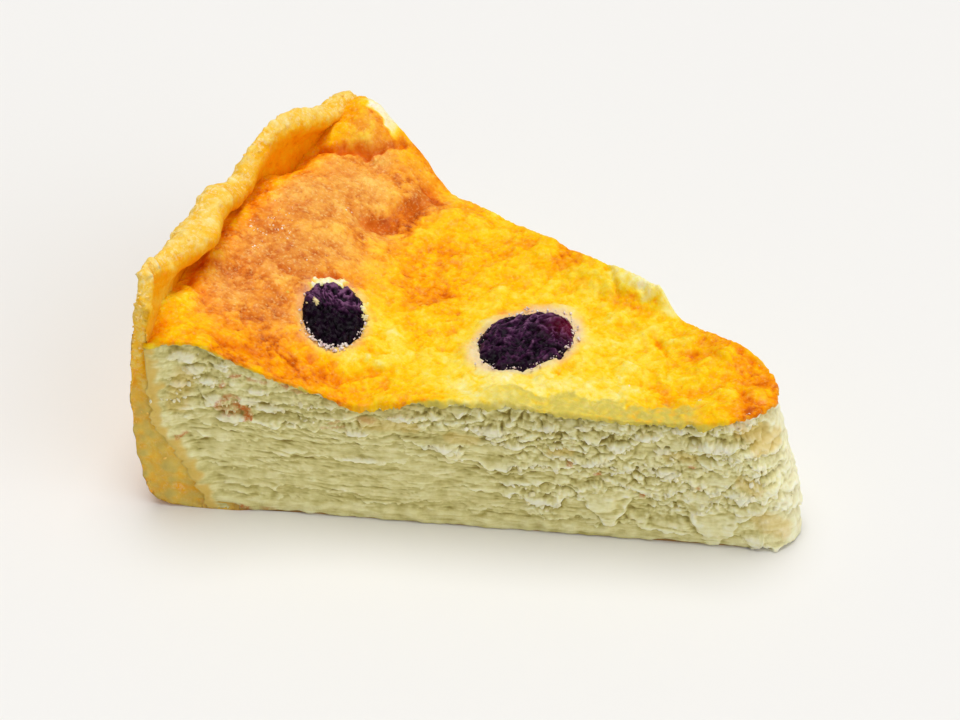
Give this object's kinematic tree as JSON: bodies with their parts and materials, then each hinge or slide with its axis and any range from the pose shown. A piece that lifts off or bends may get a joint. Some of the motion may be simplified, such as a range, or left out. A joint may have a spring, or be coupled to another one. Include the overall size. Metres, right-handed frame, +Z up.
{
  "type": "cheesecake slice",
  "caption": "Slice of baked cheesecake with an uneven pastry rim at the back, a pale filling with a lumpy browned top, a blunt tip and sunken berries.",
  "frame": {"origin": "middle of the bounding box in plan, at the level the slice rests on", "axes": "+Z up, +X from the pastry rim to the tip, the cut face seen in the picture on -Y"},
  "size_m": [0.111, 0.0794, 0.0469],
  "materials": {
    "pastry": "matt crumbly baked shortcrust, golden, paler on its crumbs",
    "filling": "pale ivory cheese with torn matt cut faces and a satin golden to orange baked top",
    "berry": "dark purple wrinkled baked berry, half glossy"
  },
  "bodies": {
    "root": {"pastry_shell": "pastry", "filling": "filling", "berry_1": "berry", "berry_2": "berry"}
  },
  "joints": []
}
